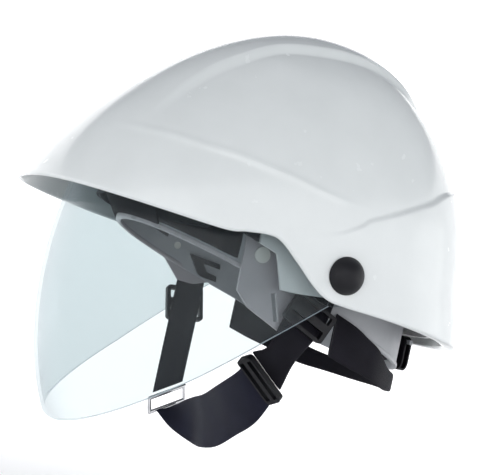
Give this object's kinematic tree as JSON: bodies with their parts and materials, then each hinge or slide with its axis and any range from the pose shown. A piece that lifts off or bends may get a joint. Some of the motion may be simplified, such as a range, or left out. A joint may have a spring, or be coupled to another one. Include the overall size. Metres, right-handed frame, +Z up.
{
  "type": "hard hat",
  "caption": "Electrician's hard hat with a long pointed peak, a clear retractable face shield on side pivots, a size-adjustable harness and a chin strap.",
  "frame": {"origin": "middle of the face shield's pivot axis, between the two side knobs, inside the head space", "axes": "+X to the wearer's left, -Y forward out of the peak, +Z up through the crown, with the peak's edge level as when the helmet is worn"},
  "size_m": [0.2478, 0.2738, 0.2664],
  "materials": {
    "shell_white": "glossy injection-moulded",
    "inner_white": "satin moulded",
    "foam_black": "matt expanded foam",
    "lens_clear": "clear polished",
    "knob_black": "fine textured",
    "steel": "turned",
    "washer_rubber": "matt",
    "washer_nylon": "natural nylon",
    "harness_grey": "fine textured moulded",
    "lug_grey": "smoky translucent moulded",
    "sweat_fabric": "brushed knit",
    "webbing_grey": "woven webbing",
    "strap_black": "woven webbing",
    "band_navy": "soft brushed band",
    "fitting_black": "moulded",
    "wire_steel": "bright drawn wire"
  },
  "bodies": {
    "shell": {"outer_shell": "shell_white", "inner_shell": "inner_white", "impact_liner": "foam_black", "headband": "harness_grey", "sweatband": "sweat_fabric", "brow_seal": "washer_rubber", "strap_clip_left": "fitting_black", "strap_clip_right": "fitting_black", "strap_lug_left": "lug_grey", "lug_rivet_left": "washer_nylon", "suspension_tab_left": "harness_grey", "strap_lug_right": "lug_grey", "lug_rivet_right": "washer_nylon", "suspension_tab_right": "harness_grey", "anchor_clip_front_left": "fitting_black", "anchor_clip_front_right": "fitting_black", "anchor_clip_rear_left": "fitting_black", "anchor_clip_rear_right": "fitting_black", "crown_strap_a": "webbing_grey", "crown_strap_b": "webbing_grey", "crown_pad": "sweat_fabric", "chin_strap_left": "strap_black", "chin_strap_right": "strap_black", "chin_band": "band_navy", "strap_adjuster_left": "fitting_black", "chin_slide": "fitting_black", "wire_loop": "wire_steel"},
    "visor": {"visor_lens": "lens_clear", "pivot_knob_left": "knob_black", "pivot_pin_left": "steel", "friction_washer_left": "washer_rubber", "spacer_washer_left": "washer_nylon", "pivot_nut_left": "steel", "pivot_knob_right": "knob_black", "pivot_pin_right": "steel", "friction_washer_right": "washer_rubber", "spacer_washer_right": "washer_nylon", "pivot_nut_right": "steel"},
    "nape_unit": {"nape_band": "harness_grey", "nape_pad": "sweat_fabric", "nape_strap": "strap_black", "ratchet_housing": "fitting_black"},
    "ratchet": {"ratchet_pinion": "fitting_black", "ratchet_knob": "fitting_black"},
    "rack_left": {"size_rack_left": "harness_grey"},
    "rack_right": {"size_rack_right": "harness_grey"},
    "adjuster": {"strap_adjuster_right": "fitting_black"}
  },
  "joints": [
    {"name": "visor_pivot", "type": "hinge", "parent": "shell", "child": "visor", "pos_m": [0, 0, 0], "axis": [-1, 0, 0], "range_deg": [0, 45]},
    {"name": "nape_slide", "type": "slide", "parent": "shell", "child": "nape_unit", "axis": [0, -0.9578, 0.2874], "range_m": [-0.0084, 0.0099]},
    {"name": "ratchet_turn", "type": "hinge", "parent": "nape_unit", "child": "ratchet", "pos_m": [0, 0.0955, -0.036], "axis": [0, -1, 0], "range_deg": [-98, 115]},
    {"name": "rack_left_slide", "type": "slide", "parent": "nape_unit", "child": "rack_left", "axis": [-1, 0, 0], "range_m": [-0.0085, 0.01]},
    {"name": "rack_right_slide", "type": "slide", "parent": "nape_unit", "child": "rack_right", "axis": [1, 0, 0], "range_m": [-0.0085, 0.01]},
    {"name": "adjuster_slide", "type": "slide", "parent": "shell", "child": "adjuster", "axis": [0.3096, -0.0975, -0.9458], "range_m": [0, 0.03]}
  ],
  "couplings": [
    {"joint": "ratchet_turn", "follows": "nape_slide", "rad_per_m": 200},
    {"joint": "rack_left_slide", "follows": "nape_slide", "ratio": 1},
    {"joint": "rack_right_slide", "follows": "nape_slide", "ratio": 1}
  ]
}
